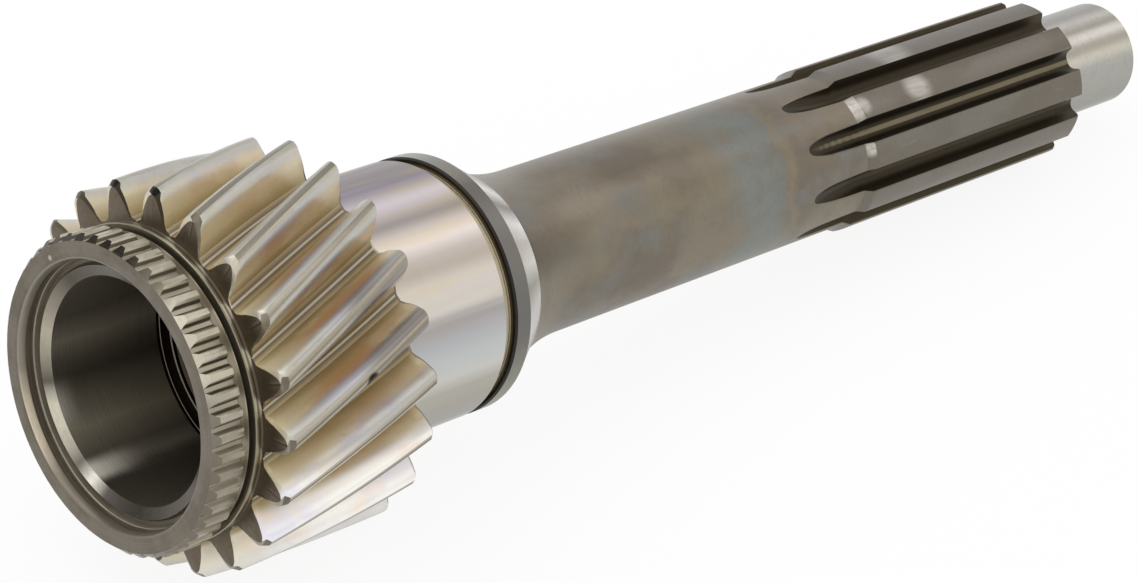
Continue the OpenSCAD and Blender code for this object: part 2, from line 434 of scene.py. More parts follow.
# nose, with a lathe centre in its end
nose = dict(start=281.363, radius=12.5, foot=13.6, fillet=0.4, bevel=1.2, end=311.363, splineBevel=0.6,
            centre=2.6, centreRim=2, centreDepth=4, centreTip=0.3, centrePoint=0.05)
noseOutline = splineOutline(nose["start"], splines["radius"] - nose["splineBevel"])
ring = grow(ring, noseOutline, nose["start"], splineFinish("splineLand"))
ring = lathe(ring, [(nose["start"], nose["foot"], "splineGroove")], anglesOf(noseOutline))
centreEnd = nose["end"] - nose["centreDepth"]
closeRing(lathe(turnTo(ring, circle(1)), [
    (nose["start"], nose["radius"] + nose["fillet"], "splineGroove"),
    (nose["start"] + nose["fillet"], nose["radius"], "groundNose"),
    (nose["end"] - nose["bevel"], nose["radius"], "groundNose"),
    (nose["end"], nose["radius"] - nose["bevel"], "groundNose"),
    (nose["end"], nose["centre"] + nose["centreRim"], "faceTurned"),
    (nose["end"], nose["centre"], "faceTurned"),
    (centreEnd, nose["centreTip"], "paintedShadeGroove"),
    (centreEnd - nose["centreTip"], nose["centrePoint"], "paintedShadeGroove"),
]))

bmesh.ops.recalc_face_normals(shell, faces=shell.faces[:])
sharpAngle = math.radians(28)
for edge in shell.edges:
    edge.smooth = edge.calc_face_angle(0) < sharpAngle
print("shaft mesh:", len(shell.faces), "faces, open edges:", sum(e.is_boundary for e in shell.edges))
shell.transform(shaftToWorld)
shaftBody = addMesh("clutch_shaft_body", shell)
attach(shaftBody, "root")
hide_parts("clutch_shaft")


# shader values as Python expressions
class Value:
    def __init__(self, tree, socket):
        self.tree = tree
        self.socket = socket

    def calc(self, operation, *terms):
        node = self.tree.nodes.new("ShaderNodeMath")
        node.operation = operation
        for slot, term in zip(node.inputs, terms):
            feed(self.tree, slot, term)
        return Value(self.tree, node.outputs[0])

    def __add__(self, other):
        return self.calc("ADD", self, other)

    def __sub__(self, other):
        return self.calc("SUBTRACT", self, other)

    def __rsub__(self, other):
        return self.calc("SUBTRACT", other, self)

    def __mul__(self, other):
        return self.calc("MULTIPLY", self, other)

    __radd__ = __add__
    __rmul__ = __mul__


def feed(tree, slot, item):
    if isinstance(item, Value):
        tree.links.new(item.socket, slot)
    else:
        slot.default_value = item


# a tree of shader nodes
class Nodes:
    def __init__(self, tree):
        self.tree = tree

    # any shader node: its type, its settings, then the values or links of its sockets
    def add(self, kind, settings=None, sockets=None, out=0):
        node = self.tree.nodes.new("ShaderNode" + kind)
        for name, setting in (settings or {}).items():
            if name == "stops":
                self.setStops(node.color_ramp.elements, setting)
            else:
                setattr(node, name, setting)
        for slot, item in (sockets or {}).items():
            feed(self.tree, node.inputs[slot], item)
        return Value(self.tree, node.outputs[out])

    def setStops(self, elements, stops):
        for element, (place, colour) in zip(list(elements), (stops[0], stops[-1])):
            element.position = place
            element.color = colour
        for place, colour in stops[1:-1]:
            elements.new(place).color = colour

    # 0 at low and 1 at high, smooth between; low may be the larger of the two
    def step(self, value, low, high):
        return self.add("MapRange", dict(interpolation_type="SMOOTHSTEP"), {
            "Value": value, "From Min": low, "From Max": high, "To Min": 0, "To Max": 1}, out="Result")

    def band(self, value, low, high, soft):
        return self.step(value, low - soft, low + soft) * (1 - self.step(value, high - soft, high + soft))

    # a colour is a value, or red, green and blue up to 255
    def mix(self, factor, first, second):
        first, second = [rgb(*colour) if isinstance(colour, tuple) else colour for colour in (first, second)]
        return self.add("Mix", dict(data_type="RGBA"), {0: factor, 6: first, 7: second}, out=2)

    # lays a share of a tint over a colour, where a value passes from low to high
    def tint(self, colour, tint, value, low, high, share=1):
        return self.mix(self.step(value, low, high) * share, colour, tint)

    # colour along a value, from stops of (value, colour)
    def along(self, value, stops):
        low, high = stops[0][0], stops[-1][0]
        places = [((at - low) / (high - low), rgb(*colour)) for at, colour in stops]
        return self.add("ValToRGB", dict(stops=places), {0: (value - low) * (1 / (high - low))})


# a surface, with its place on the shaft in millimetres
class Finish(Nodes):
    def __init__(self, name):
        self.material = bpy.data.materials.new(name)
        self.material.use_nodes = True
        self.tree = self.material.node_tree
        self.shader = self.tree.nodes["Principled BSDF"]
        spot = self.add("TexCoord", out="Object")
        self.point = self.add("Mapping", dict(vector_type="TEXTURE"), {
            "Vector": spot, "Location": frontAt, "Rotation": (0, shaftTurn, 0), "Scale": (0.001,) * 3})
        self.down, self.side, self.station = [
            self.add("SeparateXYZ", {}, {"Vector": self.point}, out=letter) for letter in "XYZ"]
        across = self.add("VectorMath", dict(operation="MULTIPLY"), {0: self.point, 1: (1, 1, 0)})
        self.radius = self.add("VectorMath", dict(operation="LENGTH"), {0: across}, out="Value")
        # degrees round the shaft: 0 on top, 90 on the side of the photo's view
        self.around = self.side.calc("ARCTAN2", 0 - self.side, 0 - self.down) * (180 / math.pi)

    # colour round the shaft, from stops of (degrees, colour); the last meets the first
    def sweep(self, degrees, stops):
        return self.along(degrees, [*stops, (180, stops[0][1])])

    # stretch across and along the shaft, in waves for each millimetre
    def noise(self, across, along, detail=3, rough=0.55, shift=0):
        spot = self.add("VectorMath", dict(operation="MULTIPLY_ADD"), {
            0: self.point, 1: (across, across, along), 2: (shift,) * 3})
        return self.add("TexNoise", {}, {
            "Vector": spot, "Scale": 1, "Detail": detail, "Roughness": rough}, out="Fac")

    # 1 within a size of a place on the shaft, fading to 0
    def mark(self, station, radius, degrees, size, soft=0.4):
        down, side = polar(-radius, math.radians(degrees))
        away = self.add("VectorMath", dict(operation="DISTANCE"), {
            0: self.point, 1: (down, side, station)}, out="Value")
        return 1 - self.step(away, size * (1 - soft), size)

    # edge is the share of light that bare metal still reflects at a grazing angle
    def finish(self, colour, roughness, height, depth, metal=1.0, edge=1.0):
        bump = self.add("Bump", {}, {"Strength": 1, "Distance": depth / 1000, "Height": height})
        look = {"Base Color": colour, "Roughness": roughness, "Metallic": metal, "Normal": bump}
        for slot, item in look.items():
            feed(self.tree, self.shader.inputs[slot], item)
        self.shader.inputs["Specular Tint"].default_value = edge, edge, edge, 1
        return self.material


def rgb(red, green, blue):
    def linear(level):
        level /= 255
        return level / 12.92 if level <= 0.04045 else ((level + 0.055) / 1.055) ** 2.4
    return linear(red), linear(green), linear(blue), 1


# lay of the tool marks
layAround = 0.12, 7
layFace = 1.1, 1.1


# plain machined steel: a base colour, a second tint in clouds, and darker tool marks and specks
def machined(name, base, tint, dark, rough=0.3, lay=layAround, depth=0.004, metal=1.0):
    made = Finish(name)
    marks = made.noise(*lay, detail=4, rough=0.7)
    cloud = made.noise(0.11, 0.08, shift=3)
    specks = made.noise(1.3, 1.3, detail=5, rough=0.7, shift=9)
    colour = made.tint(base, tint, cloud, 0.4, 0.64)
    colour = made.tint(colour, dark, specks, 0.54, 0.74, 0.5)
    colour = made.tint(colour, dark, marks, 0.35, 0.75, 0.25)
    roughness = rough + (marks - 0.5) * 0.12 + (specks - 0.5) * 0.1
    return made.finish(colour, roughness, marks, depth, metal)


# gear flanks: straw at the front end, and towards the back orange, violet and blue one above the other
# root of the gap: a pale painted highlight line with painted shade on each side; the cool ramp starts with
# the same
rootHighlightAndShade = [(32.04, (192, 184, 163)), (32.07, (184, 175, 153)), (32.12, (98, 86, 63)),
             (32.22, (114, 99, 72))]
flankLook = dict(
    cool=[(32.04, (196, 187, 165)), (32.07, (188, 178, 156)), (32.12, (104, 92, 68)),
          (32.22, (120, 106, 78)), (32.5, (172, 155, 117)), (33.4, (192, 175, 136)), (35, (214, 201, 166)),
          (37, (217, 206, 178)), (38.2, (204, 200, 185)), (39.1, (196, 195, 184)), (39.7, (182, 177, 160))],
    hot=[*rootHighlightAndShade, (32.5, (162, 142, 104)), (33.4, (172, 148, 106)), (35, (196, 165, 117)),
         (36.6, (196, 159, 118)), (37.5, (184, 160, 148)), (38.3, (178, 175, 184)), (39, (186, 188, 195)),
         (39.7, (184, 180, 166))],
    pastel=[*rootHighlightAndShade, (32.5, (164, 146, 108)), (33.4, (180, 158, 116)), (34.4, (194, 170, 130)),
            (35.5, (208, 188, 155)), (37, (203, 190, 182)), (38.2, (174, 173, 175)), (39.1, (188, 188, 188)),
            (39.7, (190, 188, 182))],
    pastelFrom=(72, 86), heatFrom=(12, 27), coolFrom=(37, 49), heatWander=24, wander=1.9, streak=1.1,
    dull=(134, 128, 124), paintedDarkFrom=(26, 36), paintedDarkRound=(44, 73), speck=(150, 132, 100),
    bright=(254, 252, 246), lilac=(236, 234, 246), rose=(252, 236, 222), floorReflectionFrom=(101, 112),
    floorReflectionLean=4, floorReflectionFade=(122, 138), floorReflectionEnd=(150, 175), rough=0.34, metalFoot=0.2, metalTip=0.85)
dent = dict(station=33.1, radius=39.4, degrees=74.4, size=2.1)
black = (12, 10, 8)  # bottom of a dent or nick


def heatTintedFlankWithPaintedSheen(name):
    look = flankLook
    made = Finish(name)
    wander = made.noise(0.09, 0.06, shift=3)
    streak = made.noise(0.5, 0.09, detail=4, rough=0.65, shift=6)
    specks = made.noise(1.2, 0.8, detail=5, rough=0.7, shift=9)
    patch = made.noise(0.2, 0.1, detail=4, shift=14)
    # the tint wanders on the flank, while the root keeps its painted highlight line with painted shade on
    # each side
    shift = (wander - 0.5) * look["wander"] + (streak - 0.5) * look["streak"]
    height = made.radius + shift * made.step(made.radius, 33, 34.5)
    heatPlace = made.station + (wander - 0.5) * look["heatWander"]
    heat = made.step(heatPlace, *look["heatFrom"]) * (1 - 0.6 * made.step(heatPlace, *look["coolFrom"]))
    heat = heat * (0.4 + 0.6 * made.step(patch, 0.36, 0.56)) * (0.45 + 0.55 * made.step(made.around, 6, 40))
    # the tints are the steel's own; from about 80 degrees round downwards a paler pastel copy of them is
    # painted reflection of the floor
    lower = made.step(made.around, *look["pastelFrom"])
    hot = made.mix(lower, made.along(height, look["hot"]), made.along(height, look["pastel"]))
    colour = made.mix(heat, made.along(height, look["cool"]), hot)
    # painted reflection: a duller grey band high on the flanks of the teeth from 44 to 73 degrees round,
    # towards the back
    dull = made.band(made.around, *look["paintedDarkRound"], 8) * made.step(made.station, *look["paintedDarkFrom"])
    colour = made.mix(dull * made.step(height, 37, 38.4) * 0.9, colour, look["dull"])
    colour = made.tint(colour, look["speck"], specks, 0.56, 0.76, 0.3)
    # painted reflection: the lower teeth show the white floor, nearly white with lilac and rose
    low = made.step(made.around + (made.radius - pitchRadius) * look["floorReflectionLean"], *look["floorReflectionFrom"])
    low = low * (1 - 0.6 * made.step(made.around, *look["floorReflectionFade"]))
    low = low * (1 - made.step(made.around, *look["floorReflectionEnd"]))
    bright = made.tint(look["bright"], look["lilac"], wander, 0.46, 0.6, 0.8)
    bright = made.tint(bright, look["rose"], patch, 0.5, 0.66, 0.8)
    colour = made.mix(low * made.step(made.radius, 32.8, 33.6), colour, bright)
    colour = made.mix(made.mark(**dent), colour, black)
    roughness = look["rough"] + (streak - 0.5) * 0.16 + (specks - 0.5) * 0.08
    metal = made.step(made.radius, 34, 39) * (look["metalTip"] - look["metalFoot"])
    return made.finish(colour, roughness, streak + specks * 0.4, 0.006, metal + look["metalFoot"])


# bore: fine grinding rings, with painted reflection streaks along it
boreLook = dict(
    reflectionStreaks=[(-180, (90, 84, 75)), (-170, (86, 81, 72)), (-164, (98, 93, 84)), (-158, (156, 148, 133)),
             (-150, (122, 116, 104)), (-135, (178, 169, 147)), (-126, (150, 142, 126)), (-109, (84, 79, 69)),
             (-101, (112, 106, 94)), (-90, (166, 158, 139)), (-76, (112, 106, 94)), (0, (138, 130, 114))],
    fan=(238, 232, 218), fanAt=(-165, -153), fanEnd=19, glowAt=(-131, -113), glowEnd=10, glow=0.6,
    fullLight=4, ring=(96, 88, 76), rough=0.3, metal=0.5, litMetal=0.08)


def groundBore(name):
    look = boreLook
    made = Finish(name)
    rings = made.noise(0.05, 9, detail=4, rough=0.7)
    cloud = made.noise(0.1, 0.05, shift=5)
    angle = made.around + (cloud - 0.5) * 5
    colour = made.sweep(angle, look["reflectionStreaks"])
    # light that the mouth throws on the wall
    fan = made.band(angle, *look["fanAt"], 4) * made.step(made.station, look["fanEnd"], look["fullLight"])
    glow = made.band(angle, *look["glowAt"], 8) * made.step(made.station, look["glowEnd"], look["fullLight"])
    lit = fan + glow * look["glow"]
    colour = made.mix(lit, colour, look["fan"])
    colour = made.tint(colour, look["ring"], rings, 0.4, 0.75, 0.45)
    roughness = look["rough"] + (rings - 0.5) * 0.2 + (cloud - 0.5) * 0.1
    metal = look["metal"] - lit * (look["metal"] - look["litMetal"])
    return made.finish(colour, roughness, rings, 0.004, metal)


# surfaces with painted reflections, highlights and shade that change round the shaft, under real scratches:
# degrees, then colour
blackTips = [dict(station=12.2, radius=39.2, degrees=degrees, size=1.1) for degrees in (-5, -23)]
bevelShine = [(-180, (128, 120, 104)), (-60, (96, 88, 74)), (-30, (60, 53, 43)), (2, (58, 51, 41)),
              (18, (132, 124, 108)), (30, (206, 200, 182)), (40, (190, 183, 164)), (50, (112, 103, 88))]
paintedSheenLooks = dict(
    leadIn=dict(rough=0.2, metal=1, wander=4, stops=[
        (-180, (80, 74, 70)), (-171, (100, 94, 89)), (-161, (250, 244, 232)), (-151, (118, 112, 103)),
        (-140, (186, 180, 164)), (-130, (208, 202, 184)), (-120, (206, 200, 182)), (-109, (94, 90, 81)),
        (-98, (146, 140, 125)), (-84, (176, 169, 151)), (-72, (150, 143, 130)), (-46, (84, 80, 71)),
        (0, (104, 98, 89)), (140, (84, 78, 69)), (166, (58, 54, 49))]),
    mouthTaper=dict(rough=0.3, metal=0.4, stops=[
        (-180, (112, 104, 92)), (-150, (138, 129, 114)), (-133, (212, 199, 176)), (-116, (198, 186, 162)),
        (-100, (144, 136, 122)), (-60, (132, 126, 114)), (0, (120, 112, 100))]),
    couplingFront=dict(rough=0.28, metal=0.9, stops=[
        (-180, (112, 104, 92)), (-90, (70, 64, 54)), (-60, (38, 34, 28)), (8, (38, 34, 28)),
        (17, (82, 78, 68)), (25, (126, 121, 104)), (33, (204, 198, 180)), (58, (206, 200, 184)),
        (72, (138, 131, 118)), (90, (120, 112, 99))]),
    toothBevel=dict(rough=0.34, metal=0.8, marks=blackTips, stops=[
        *bevelShine, (80, (142, 134, 118)), (110, (166, 159, 143))]),
    tipBevel=dict(rough=0.36, metal=0.8, marks=blackTips, stops=[
        *bevelShine, (80, (118, 110, 97)), (100, (108, 99, 87)), (124, (118, 110, 97))]),
    toothTip=dict(rough=0.34, metal=0.9, marks=[dent], stops=[
        (-180, (178, 173, 158)), (-30, (210, 208, 202)), (-18, (186, 183, 174)), (-8, (158, 155, 144)),
        (8, (142, 137, 122)), (26, (150, 145, 132)), (38, (176, 170, 156)), (60, (168, 161, 146)),
        (90, (182, 174, 160)), (110, (190, 186, 174))]),
    toothShade=dict(rough=0.36, metal=0.9, marks=[dent], stops=[
        (-180, (160, 154, 140)), (-30, (206, 203, 196)), (-18, (176, 173, 163)), (-8, (152, 149, 137)),
        (8, (138, 133, 118)), (26, (148, 143, 130)), (38, (166, 160, 147)), (60, (152, 144, 127)),
        (80, (136, 128, 109)), (110, (140, 133, 119))]),
    brightCone=dict(rough=0.25, metal=0.15, wander=2, stops=[
        (-180, (196, 193, 186)), (-2, (220, 217, 210)), (9, (84, 81, 78)), (20, (212, 208, 200)),
        (30, (120, 114, 108)), (40, (250, 249, 247)), (50, (212, 207, 201)), (60, (238, 236, 228)),
        (70, (170, 169, 161)), (80, (200, 197, 192)), (92, (180, 176, 168)), (101, (92, 90, 83)),
        (111, (206, 205, 202))]),
    roughLand=dict(rough=0.4, metal=0.9, stops=[
        (-180, (150, 148, 138)), (-30, (176, 175, 168)), (-4, (156, 154, 146)), (8, (144, 141, 131)),
        (18, (118, 115, 108)), (42, (126, 124, 120)), (80, (116, 114, 109)), (92, (120, 117, 112)),
        (106, (138, 136, 126)), (124, (142, 142, 128))]),
    groundNose=dict(rough=0.2, metal=1, edge=0.72, stops=[
        (-180, (184, 181, 172)), (-30, (180, 178, 173)), (-10, (188, 187, 182)), (4, (208, 205, 198)),
        (18, (190, 186, 177)), (30, (206, 203, 195)), (44, (180, 177, 168)), (58, (196, 192, 181)),
        (74, (170, 169, 163)), (126, (166, 165, 156))]),
)
scratchTint = (112, 105, 93)


def scratchedWithPaintedSheen(name):
    look = paintedSheenLooks[name]
    made = Finish(name)
    cloud = made.noise(0.2, 0.2, detail=4, shift=5)
    scratches = made.noise(0.7, 3, detail=4, rough=0.7, shift=2)
    # painted reflections, highlights and shade, by the angle round the shaft
    colour = made.sweep(made.around + (cloud - 0.5) * look.get("wander", 9), look["stops"])
    colour = made.tint(colour, scratchTint, scratches, 0.45, 0.8, 0.25)
    for place in look.get("marks", ()):
        colour = made.mix(made.mark(**place), colour, black)
    roughness = look["rough"] + (scratches - 0.5) * 0.12
    return made.finish(colour, roughness, scratches, 0.003, look["metal"], look.get("edge", 1))


# coupling teeth: pale lands and notch floors, with painted shade low on the flanks between them and on the
# side from 62 to 92 degrees round
couplingLook = dict(land=(194, 187, 169), worn=(176, 169, 152), scratch=(112, 104, 88), footShade=(66, 59, 45),
                    footShadeFrom=31.1, footShadeTo=31.7, floor=(164, 157, 138), dull=(124, 116, 101),
                    paintedDarkFrom=(62, 92), rough=0.3, metal=0.8)


def couplingWithFootShade(name):
    look = couplingLook
    made = Finish(name)
    cloud = made.noise(0.3, 0.2, detail=4, shift=3)
    scratches = made.noise(1.6, 0.3, detail=5, rough=0.7, shift=7)
    colour = made.tint(look["land"], look["worn"], cloud, 0.4, 0.62)
    colour = made.tint(colour, look["scratch"], scratches, 0.48, 0.78, 0.4)
    # painted shade at the foot of the teeth, lighter from about 70 degrees round onwards
    footShade = made.band(made.radius + (cloud - 0.5) * 0.3, look["footShadeFrom"], look["footShadeTo"], 0.08)
    footShade = footShade * (0.9 - 0.4 * made.step(made.around, 70, 96))
    floor = 1 - made.step(made.radius, coupling["root"], look["footShadeFrom"])
    colour = made.mix(floor * 0.8, colour, look["floor"])
    colour = made.mix(footShade, colour, look["footShade"])
    # painted shade: duller from 62 to 92 degrees round
    colour = made.tint(colour, look["dull"], made.around, *look["paintedDarkFrom"], 0.6)
    roughness = look["rough"] + footShade * 0.12 + (scratches - 0.5) * 0.14
    return made.finish(colour, roughness, scratches, 0.005, look["metal"])


# turned rims beside the relief groove: tool lines in pairs, and painted highlights beside the edges
rimLook = dict(steel=(150, 142, 122), dark=(92, 84, 68), pale=(184, 177, 158), rough=0.32, metal=0.85,
               lines=((7.0, 7.2), (10.65, 10.95)), edges=((8.75, 9.05), (10.15, 10.5), (11.1, 11.5)))


def turnedRim(name):
    look = rimLook
    made = Finish(name)
    marks = made.noise(*layAround, detail=4, rough=0.7)
    cloud = made.noise(0.15, 0.1, shift=4)
    colour = made.tint(look["steel"], look["dark"], marks, 0.4, 0.7, 0.5)
    for low, high in look["lines"]:
        colour = made.mix(made.band(made.station, low, high, 0.06) * 0.8, colour, look["dark"])
    # painted highlights: pale bands beside the rims' edges
    for low, high in look["edges"]:
        shine = made.band(made.station, low, high, 0.06) * made.step(cloud, 0.3, 0.5)
        colour = made.mix(shine * 0.8, colour, look["pale"])
    roughness = look["rough"] + (marks - 0.5) * 0.14 + (cloud - 0.5) * 0.1
    return made.finish(colour, roughness, marks, 0.005, look["metal"])


# bearing seat: ground bright, with painted reflections: a sheen that changes round it, and lavender and
# straw streaks along its upper side
seatLook = dict(
    sheen=[(-180, (198, 196, 188)), (-30, (150, 146, 139)), (-14, (164, 158, 156)), (2, (186, 179, 182)),
           (9, (206, 199, 193)), (62, (206, 199, 190)), (67, (214, 208, 200)), (72, (166, 161, 157)),
           (79, (178, 178, 180)), (88, (190, 194, 193)), (97, (202, 201, 195)), (104, (181, 178, 167)),
           (114, (184, 180, 170)), (124, (194, 192, 184))],
    lavender=(204, 193, 208), straw=(208, 193, 164), worn=(168, 160, 150), rough=0.13, edge=0.6)


def groundSeat(name):
    look = seatLook
    made = Finish(name)
    streak = made.noise(0.22, 0.01, shift=2)
    cloud = made.noise(0.2, 0.02, shift=7)
    rings = made.noise(0.08, 8, detail=4, rough=0.7, shift=4)
    colour = made.sweep(made.around + (cloud - 0.5) * 4, look["sheen"])
    # painted reflections of lavender and straw, on the upper side only
    upper = 1 - made.step(made.around, 66, 84)
    colour = made.mix(made.step(streak, 0.48, 0.66) * upper * 0.5, colour, look["lavender"])
    colour = made.mix(made.step(cloud, 0.5, 0.7) * upper * 0.5, colour, look["straw"])
    colour = made.tint(colour, look["worn"], rings, 0.5, 0.8, 0.2)
    roughness = look["rough"] + (rings - 0.5) * 0.1 + (cloud - 0.5) * 0.06
    return made.finish(colour, roughness, rings, 0.0012, edge=look["edge"])


# plain shaft: satin, mottled brown and blue-grey, with heat bands ahead of the splines, a painted highlight
# on its top and painted shade beside the neck
shaftLook = dict(brown=(136, 128, 112), umber=(122, 113, 101), slate=(128, 128, 124), top=(166, 161, 149),
                 pale=(156, 147, 132), dark=(96, 89, 78), blue=(131, 137, 133), blueAt=(158, 177),
                 straw=(142, 130, 108), strawAt=(178.5, 180.5), neckAt=(102, 120), rough=0.42,
                 paleSpots=[dict(station=117, radius=18, degrees=32, size=13, soft=1),
                            dict(station=189, radius=18, degrees=8, size=12, soft=1)])


def satinShaft(name):
    look = shaftLook
    made = Finish(name)
    cloud = made.noise(0.05, 0.035, detail=4, rough=0.6, shift=3)
    patch = made.noise(0.07, 0.05, detail=4, rough=0.65, shift=11)
    grain = made.noise(0.5, 1.6, detail=5, rough=0.75, shift=8)
    colour = made.tint(look["brown"], look["umber"], cloud, 0.4, 0.62)
    colour = made.tint(colour, look["slate"], patch, 0.5, 0.68, 0.8)
    bent = made.station + (cloud - 0.5) * 22 + (patch - 0.5) * 10
    blue = made.band(bent, *look["blueAt"], 6) * (0.35 + 0.65 * made.step(patch, 0.4, 0.6))
    straw = made.band(bent, *look["strawAt"], 1.5) * made.step(cloud, 0.4, 0.55)
    colour = made.mix(blue * 0.8, colour, look["blue"])
    colour = made.mix(straw * 0.8, colour, look["straw"])
    for place in look["paleSpots"]:
        spot = made.mark(**place) * made.step(grain, 0.2, 0.7) * 0.7
        colour = made.mix(spot, colour, look["pale"])
    # painted highlight on the neck's top, painted shade in a band on it from 50 to 70 degrees round, and the
    # whole shaft painted lighter on top
    neckShare = 1 - made.step(made.station, *look["neckAt"])
    colour = made.mix(neckShare * made.step(made.around, 44, 0) * 0.5, colour, look["top"])
    colour = made.mix(neckShare * made.band(made.around, 50, 70, 9) * 0.5, colour, look["dark"])
    colour = made.tint(colour, look["top"], made.around, 16, -16, 0.4)
    colour = made.tint(colour, look["dark"], grain, 0.5, 0.8, 0.3)
    roughness = look["rough"] + (grain - 0.5) * 0.14 + (patch - 0.5) * 0.16
    return made.finish(colour, roughness, grain, 0.006)


# spline lands and their lead: dull brown-grey, scuffed bright where the clutch disc has slid, with a painted
# highlight on top
landLook = dict(dull=(117, 111, 101), pale=(124, 119, 110), dark=(88, 83, 72), top=(142, 136, 127),
                scuff=(196, 193, 185), rough=0.36)
landScuffs = [
    dict(station=225, radius=19.05, degrees=35.4, size=5.5),
    dict(station=227, radius=19.05, degrees=-2, size=8),
    dict(station=206, radius=19.05, degrees=36, size=3),
]
leadScuffs = [
    dict(station=203.6, radius=18.5, degrees=36, size=4.5),
    dict(station=203.8, radius=18.5, degrees=66, size=2.6),
]


def scuffedLand(name, scuffs, strength):
    look = landLook
    made = Finish(name)
    cloud = made.noise(0.08, 0.03, shift=3)
    rub = made.noise(0.9, 0.12, detail=5, rough=0.7, shift=5)
    grain = made.noise(0.6, 2.2, detail=4, rough=0.7, shift=8)
    colour = made.tint(look["dull"], look["pale"], cloud, 0.42, 0.6)
    colour = made.tint(colour, look["dark"], grain, 0.48, 0.8, 0.35)
    # painted highlight: the lands lighter on top
    colour = made.tint(colour, look["top"], made.around, 18, -4, 0.6)
    worn = made.step(rub, 0.62, 0.78) * 0.22
    for place in scuffs:
        worn = worn + made.mark(**place, soft=0.7) * made.step(rub, 0.1, 0.6) * strength
    colour = made.mix(worn, colour, look["scuff"])
    roughness = look["rough"] + (grain - 0.5) * 0.14 - worn * 0.12
    return made.finish(colour, roughness, grain, 0.006)


# spline grooves: dark, with painted shade deeper towards the foot and a painted highlight along the floor
grooveLook = dict(wall=(74, 66, 52), foot=(58, 51, 39), floor=(126, 117, 98), line=(52, 45, 33),
                  rough=0.44)


def milledGroove(name):
    look = grooveLook
    made = Finish(name)
    cloud = made.noise(0.2, 0.05, shift=3)
    lines = made.noise(2.2, 0.1, detail=4, rough=0.7, shift=6)
    # the floor rises where the cutter ran out
    run = made.station.calc("MAXIMUM", splines["fullDepth"] - made.station, 0)
    above = made.radius - grooveRoot - run * run * (0.5 / splines["cutter"])
    low = above + (cloud - 0.5) * 0.3
    # painted shade: darker towards the foot
    colour = made.tint(look["foot"], look["wall"], low, 0.4, 1.6)
    # painted highlight along the floor, strongest from 44 to 64 degrees round
    highlightSide = 0.2 + 0.7 * made.band(made.around, 44, 64, 6)
    floorHighlight = 1 - made.step(above + (cloud - 0.5) * 0.02, 0.004, 0.034)
    colour = made.mix(floorHighlight * highlightSide, colour, look["floor"])
    colour = made.tint(colour, look["line"], lines, 0.45, 0.75, 0.35)
    roughness = look["rough"] + (lines - 0.5) * 0.16
    return made.finish(colour, roughness, lines, 0.006)


# front face: turned grey, with one bright nick
faceLook = dict(steel=(121, 114, 103), dull=(107, 100, 88), dark=(84, 78, 68), pale=(150, 145, 134),
                bright=(182, 177, 166), rough=0.38,
                nick=dict(station=0, radius=28.9, degrees=-40.2, size=0.75, soft=0.7))


def turnedFace(name):
    look = faceLook
    made = Finish(name)
    grain = made.noise(0.9, 0.9, detail=5, rough=0.75, shift=2)
    cloud = made.noise(0.12, 0.12, detail=4, shift=6)
    rings = made.add("TexNoise", dict(noise_dimensions="1D"), {
        "W": made.radius * 3.1 + cloud * 0.6, "Scale": 1, "Detail": 3, "Roughness": 0.7}, out="Fac")
    colour = made.tint(look["steel"], look["dull"], cloud, 0.36, 0.64)
    colour = made.tint(colour, look["dark"], grain, 0.5, 0.78, 0.4)
    colour = made.tint(colour, look["pale"], rings, 0.5, 0.75, 0.3)
    colour = made.mix(made.mark(**look["nick"]), colour, look["bright"])
    roughness = look["rough"] + (grain - 0.5) * 0.16 + (rings - 0.5) * 0.1
    return made.finish(colour, roughness, grain + rings, 0.005)


# plain machined surfaces
plainLooks = dict(
    # the drilled end, the grooves' dark walls and the land's black edge are painted shade
    drilledEnd=dict(base=(70, 63, 53), tint=(78, 71, 60), dark=(34, 29, 23), rough=0.4),
    mouthGroove=dict(base=(112, 103, 87), tint=(122, 113, 97), dark=(78, 70, 56), rough=0.4, metal=0.1),
    mouthLine=dict(base=(212, 205, 190), tint=(196, 188, 172), dark=(150, 140, 122), rough=0.3, metal=0.2),
    boreLine=dict(base=(132, 125, 113), tint=(122, 115, 104), dark=(86, 79, 69), rough=0.34, metal=0.6),
    edgeBright=dict(base=(180, 173, 154), tint=(172, 165, 148), dark=(128, 119, 101), rough=0.28),
    toothEnd=dict(base=(106, 95, 81), tint=(114, 104, 90), dark=(70, 61, 50), rough=0.42, lay=layFace),
    paintedShadeGroove=dict(base=(64, 56, 43), tint=(72, 64, 51), dark=(30, 25, 18), rough=0.36),
    paintedShadeEdge=dict(base=(30, 26, 20), tint=(36, 31, 24), dark=(16, 13, 10), rough=0.5, metal=0.3),
    snapFloor=dict(base=(196, 183, 150), tint=(184, 170, 138), dark=(128, 115, 90), rough=0.34, metal=0.3),
)
makers = dict(boreGround=groundBore, faceTurned=turnedFace, couplingLand=couplingWithFootShade,
              reliefTurned=turnedRim, toothFlank=heatTintedFlankWithPaintedSheen, groundSeat=groundSeat,
              satinShaft=satinShaft, splineGroove=milledGroove)
finishes = {
    "splineLead": scuffedLand("splineLead", leadScuffs, 1),
    "splineLand": scuffedLand("splineLand", landScuffs, 0.7),
    **{name: make(name) for name, make in makers.items()},
    **{name: scratchedWithPaintedSheen(name) for name in paintedSheenLooks},
    **{name: machined(name, **look) for name, look in plainLooks.items()},
}
for name in finishNames:
    shaftBody.data.materials.append(finishes[name])
print("finishes:", len(finishes))

